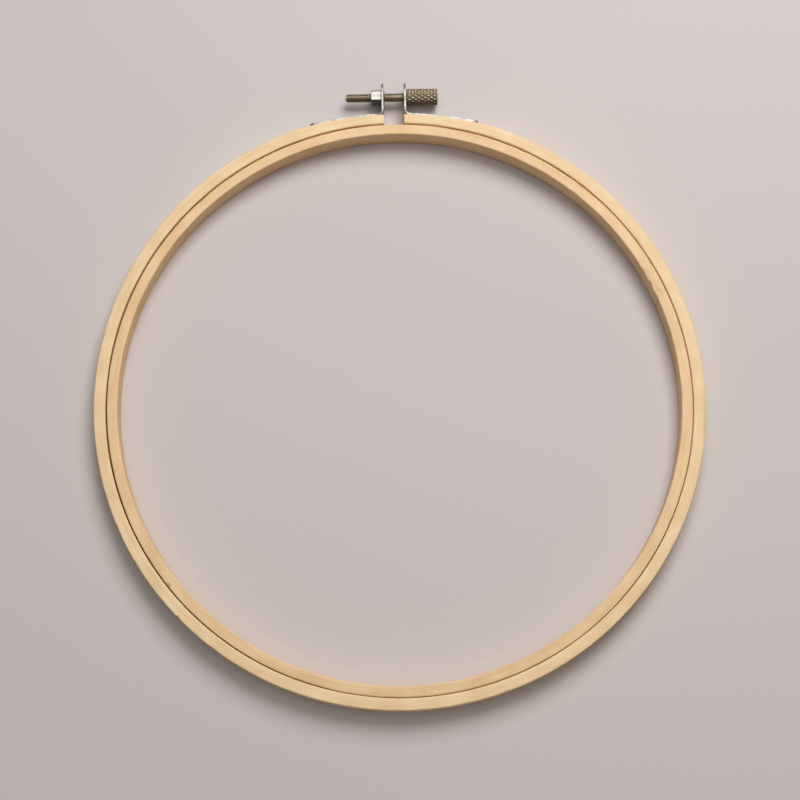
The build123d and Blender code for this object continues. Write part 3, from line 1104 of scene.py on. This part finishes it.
class HOOP_OT_stage(HoopOperator, bpy.types.Operator):
    """Makes the floor, the soft lamps, the sky and the camera"""

    bl_idname = "hoop.stage"
    bl_label = "Stage"
    SENSOR_WIDTH = 36
    FLOOR_AROUND = 96
    FLOOR_CLOUDS = 0.004
    FLOOR_SPECKS = 0.25
    FLOOR_DARKER = 0.95
    SKY_TINT = (1.0, 0.97, 0.95)
    HORIZON_TOP = 0.45

    def execute(self, context):
        scene = context.scene
        stage = scene.stage_settings
        floor_z = -scene.hoop_sizes.half_height
        self.floor(stage, scene.hoop_colours.floor, floor_z)
        self.lamp(stage, "top")
        self.lamp(stage, "side")
        self.sky(stage)
        self.camera(stage, floor_z)
        scene.view_settings.view_transform = "Standard"
        return {"FINISHED"}

    def floor(self, stage, tone, z):
        """A pale floor that reaches past every view, with a faint unevenness in its tone."""
        shader = Shader("pale_floor")
        x, y, _ = shader.place()
        clouds, specks = self.FLOOR_CLOUDS, self.FLOOR_SPECKS
        cloud = shader.noise(x * clouds, y * clouds, 0.0, 2.0, 0.5, 9.0)
        speck = shader.noise(x * specks, y * specks, 0.0, 3.0, 0.6, 8.0)
        dark = [c * self.FLOOR_DARKER for c in tone]
        base = shader.mix(cloud * 0.6 + speck * 0.2, tone, dark)
        material = shader.finish(speck, 0.05 * MM, Base_Color=base, Roughness=0.7)
        count = self.FLOOR_AROUND
        points = [(stage.floor_radius * math.cos(TURN * k / count),
                   stage.floor_radius * math.sin(TURN * k / count), z) for k in range(count)]
        new_piece("floor", points, [list(range(count))], material)

    def lamp(self, stage, place):
        """A round soft lamp that faces the hoop, from its settings' values for this place."""
        elevation, distance, size, watts = (
            getattr(stage, place + "_" + what)
            for what in ("elevation", "distance", "size", "power"))
        data = bpy.data.lights.new(place + "_lamp", "AREA")
        data.shape = "DISK"
        data.size = size
        data.energy = watts
        lamp = bpy.data.objects.new(place + "_lamp", data)
        low = Vector((math.cos(elevation), 0, math.sin(elevation)))
        away = Matrix.Rotation(stage.lamp_azimuth, 3, "Z") @ low
        lamp.location = away * distance
        lamp.rotation_euler = away.to_track_quat("Z", "Y").to_euler()
        bpy.context.scene.collection.objects.link(lamp)

    def sky(self, stage):
        """A sky that is dim overhead and paler at the horizon."""
        world = bpy.data.worlds.new("studio_sky")
        bpy.context.scene.world = world
        nodes = Nodes(world, "BACKGROUND")
        way = nodes.node("ShaderNodeTexCoord", None, None, "Generated")
        up = nodes.node("ShaderNodeSeparateXYZ", None, {0: way}, "Z")
        level = up.from_to(0.0, self.HORIZON_TOP, stage.horizon, stage.sky)
        nodes.feed(nodes.surface.inputs["Color"], self.SKY_TINT)
        nodes.feed(nodes.surface.inputs["Strength"], level)

    def camera(self, stage, floor_z):
        """The camera, nearly straight above and turned a little about the vertical."""
        data = bpy.data.cameras.new("camera")
        data.lens = stage.lens
        data.sensor_width = self.SENSOR_WIDTH
        camera = bpy.data.objects.new("camera", data)
        turn = Matrix.Rotation(stage.camera_turn, 4, "Z")
        reach = stage.camera_distance
        place = Vector((stage.aim_x, stage.aim_y - reach * math.sin(stage.camera_tilt),
                        reach * math.cos(stage.camera_tilt)))
        camera.location = turn @ place + Vector((0, 0, floor_z))
        camera.rotation_euler = Euler((stage.camera_tilt, 0, stage.camera_turn))
        bpy.context.scene.collection.objects.link(camera)
        bpy.context.scene.camera = camera


OPERATORS = (HOOP_OT_stage, HOOP_OT_outer_ring, HOOP_OT_inner_ring, HOOP_OT_brackets,
             HOOP_OT_rivets, HOOP_OT_nut, HOOP_OT_thumb_screw)


class HOOP_PT_panel(bpy.types.Panel):
    """Lists the operators in the sidebar"""

    bl_idname = "HOOP_PT_panel"
    bl_label = "Embroidery Hoop"
    bl_space_type = "VIEW_3D"
    bl_region_type = "UI"
    bl_category = "Hoop"

    def draw(self, context):
        for operator in OPERATORS:
            self.layout.operator(operator.bl_idname)


GROUPS = {"hoop_sizes": HoopSizes, "bracket_sizes": BracketSizes, "screw_sizes": ScrewSizes,
          "hoop_colours": HoopColours, "stage_settings": StageSettings}


def register():
    for group in GROUPS.values():
        bpy.utils.register_class(group)
    for name, group in GROUPS.items():
        setattr(bpy.types.Scene, name, PointerProperty(type=group))
    for operator in OPERATORS:
        bpy.utils.register_class(operator)
    bpy.utils.register_class(HOOP_PT_panel)


def unregister():
    bpy.utils.unregister_class(HOOP_PT_panel)
    for operator in reversed(OPERATORS):
        bpy.utils.unregister_class(operator)
    for name in GROUPS:
        delattr(bpy.types.Scene, name)
    for group in reversed(GROUPS.values()):
        bpy.utils.unregister_class(group)


def main():
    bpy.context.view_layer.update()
    register()
    for operator in OPERATORS:
        family, name = operator.bl_idname.split(".")
        getattr(getattr(bpy.ops, family), name)()


if __name__ == "__main__":
    main()
